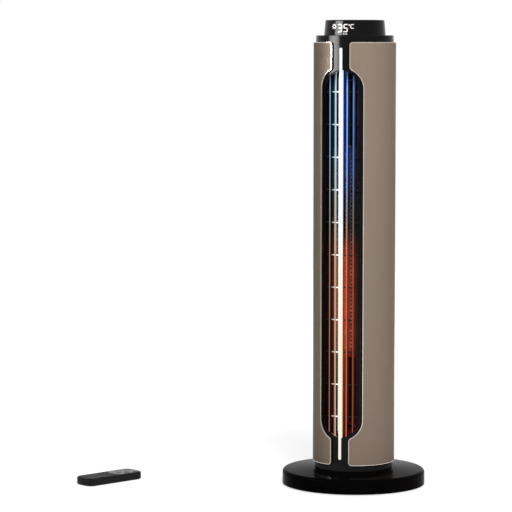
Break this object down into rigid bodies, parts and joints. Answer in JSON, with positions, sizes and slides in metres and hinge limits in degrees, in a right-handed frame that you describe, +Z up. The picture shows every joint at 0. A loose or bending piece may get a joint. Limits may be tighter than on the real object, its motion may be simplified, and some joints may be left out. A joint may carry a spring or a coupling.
{
  "type": "tower ceramic fan heater",
  "caption": "Slim tower fan heater with a ceramic core, glowing barred window, lit strip, display cap, swinging foot on a round base, and a remote control",
  "frame": {"origin": "on the floor, at the middle of the rubber foot ring, on the tower's upright axis", "axes": "+Z up; the barred window faces -Y; +X is to the right seen from the front; the remote lies on the floor at -X"},
  "size_m": [0.5732, 0.339, 0.815],
  "materials": {
    "gloss_black": "glossy black moulding",
    "matte_black": "fine-grained black moulding",
    "grille_black": "satin black grille",
    "rubber": "black rubber",
    "cast_weight": "painted steel weight",
    "steel": "zinc-plated steel",
    "zinc_steel": "pressed zinc-plated sheet",
    "white_acetal": "white acetal",
    "taupe_metal": "champagne-taupe metallic paint",
    "light_opal": "opal light guide, lit",
    "circuit_board": "glass-fibre circuit board",
    "duct_grey": "dark grey heat-proof moulding",
    "bearing_brass": "sintered bronze bush",
    "heat_proof_plastic": "glass-filled heat-proof plastic",
    "fin_aluminium": "corrugated aluminium foil",
    "ceramic_stone": "PTC ceramic",
    "thermal_plastic": "cream phenolic",
    "fan_plastic": "dark glass-filled plastic",
    "filter_mesh": "black nylon mesh in a frame",
    "smoked_cap": "smoked glossy acrylic",
    "display_dark": "dark segment display",
    "remote_black": "fine-grained black moulding",
    "emitter_tint": "dark infrared window",
    "cell_jacket": "plain grey cell jacket",
    "key_grey": "grey silicone key"
  },
  "bodies": {
    "base": {"base_cover": "gloss_black", "base_plate": "matte_black", "foot_ring": "rubber", "ballast_ring": "cast_weight", "base_screws": "steel", "cord_gland": "matte_black", "swing_motor": "zinc_steel", "swivel_washer": "white_acetal", "tip_switch_box": "matte_black"},
    "tip_feeler": {"tip_plunger": "steel"},
    "pinion": {"swing_pinion": "white_acetal"},
    "tower": {"tower_foot": "matte_black", "swing_sector": "white_acetal", "swivel_retainer": "steel", "front_frame": "gloss_black", "front_grille": "grille_black", "light_strip": "light_opal", "light_board": "circuit_board", "left_shell": "taupe_metal", "right_shell": "taupe_metal", "rear_housing": "matte_black", "housing_screws": "steel", "rocker_bezel": "matte_black", "duct_floor": "duct_grey", "duct_ceiling": "duct_grey", "duct_left": "duct_grey", "duct_right": "duct_grey", "fan_motor": "zinc_steel", "motor_cushion": "rubber", "top_bearing": "bearing_brass", "ptc_frame": "heat_proof_plastic", "ptc_fins": "fin_aluminium", "ptc_stones": "ceramic_stone", "ptc_electrodes": "zinc_steel", "thermal_cutout": "thermal_plastic", "control_board": "circuit_board", "top_deck": "gloss_black", "display_cap": "smoked_cap", "display_module": "display_dark", "display_board": "circuit_board"},
    "fan": {"fan_wheel": "fan_plastic", "fan_shaft": "steel"},
    "intake_panel": {"intake_grille": "matte_black", "dust_filter": "filter_mesh"},
    "rocker": {"power_rocker": "matte_black"},
    "remote": {"remote_bottom": "remote_black", "remote_top": "remote_black", "remote_fascia": "gloss_black", "remote_board": "circuit_board", "remote_emitter": "emitter_tint", "remote_batteries": "cell_jacket", "remote_contacts": "steel"},
    "remote_lid": {"remote_battery_lid": "remote_black"},
    "power_key_body": {"power_key": "key_grey"},
    "swing_key_body": {"swing_key": "key_grey"},
    "mode_key_body": {"mode_key": "key_grey"},
    "warmer_key_body": {"warmer_key": "key_grey"},
    "cooler_key_body": {"cooler_key": "key_grey"},
    "timer_key_body": {"timer_key": "key_grey"}
  },
  "joints": [
    {"name": "swivel", "type": "hinge", "parent": "base", "child": "tower", "pos_m": [0, 0, 0.0315], "axis": [0, 0, 1], "range_deg": [-35, 35]},
    {"name": "pinion_turn", "type": "hinge", "parent": "base", "child": "pinion", "pos_m": [0, 0.0375, 0.02], "axis": [0, 0, 1], "range_deg": [-140, 140]},
    {"name": "tip_feeler_drop", "type": "slide", "parent": "base", "child": "tip_feeler", "axis": [0, 0, -1], "range_m": [0, 0.004], "stiffness_N_per_m": 100, "springref_m": 0.006},
    {"name": "fan_spin", "type": "hinge", "parent": "tower", "child": "fan", "pos_m": [0, 0.008, 0.4], "axis": [0, 0, 1], "continuous": true},
    {"name": "intake_panel_pull", "type": "slide", "parent": "tower", "child": "intake_panel", "axis": [0, 1, 0], "range_m": [0, 0.05]},
    {"name": "rocker_tilt", "type": "hinge", "parent": "tower", "child": "rocker", "pos_m": [0, 0.0653, 0.0764], "axis": [1, 0, 0], "range_deg": [-8, 8]},
    {"name": "remote_lift", "type": "slide", "parent": "base", "child": "remote", "axis": [0, 0, 1], "range_m": [0, 0.2]},
    {"name": "remote_lid_slide", "type": "slide", "parent": "remote", "child": "remote_lid", "axis": [-0.4163, -0.9092, 0], "range_m": [0, 0.045]},
    {"name": "power_key_press", "type": "slide", "parent": "remote", "child": "power_key_body", "axis": [0, 0, -1], "range_m": [0, 0.0008], "stiffness_N_per_m": 200},
    {"name": "swing_key_press", "type": "slide", "parent": "remote", "child": "swing_key_body", "axis": [0, 0, -1], "range_m": [0, 0.0008], "stiffness_N_per_m": 200},
    {"name": "mode_key_press", "type": "slide", "parent": "remote", "child": "mode_key_body", "axis": [0, 0, -1], "range_m": [0, 0.0008], "stiffness_N_per_m": 200},
    {"name": "warmer_key_press", "type": "slide", "parent": "remote", "child": "warmer_key_body", "axis": [0, 0, -1], "range_m": [0, 0.0008], "stiffness_N_per_m": 200},
    {"name": "cooler_key_press", "type": "slide", "parent": "remote", "child": "cooler_key_body", "axis": [0, 0, -1], "range_m": [0, 0.0008], "stiffness_N_per_m": 200},
    {"name": "timer_key_press", "type": "slide", "parent": "remote", "child": "timer_key_body", "axis": [0, 0, -1], "range_m": [0, 0.0008], "stiffness_N_per_m": 200}
  ],
  "couplings": [
    {"joint": "pinion_turn", "follows": "swivel", "ratio": -4}
  ]
}
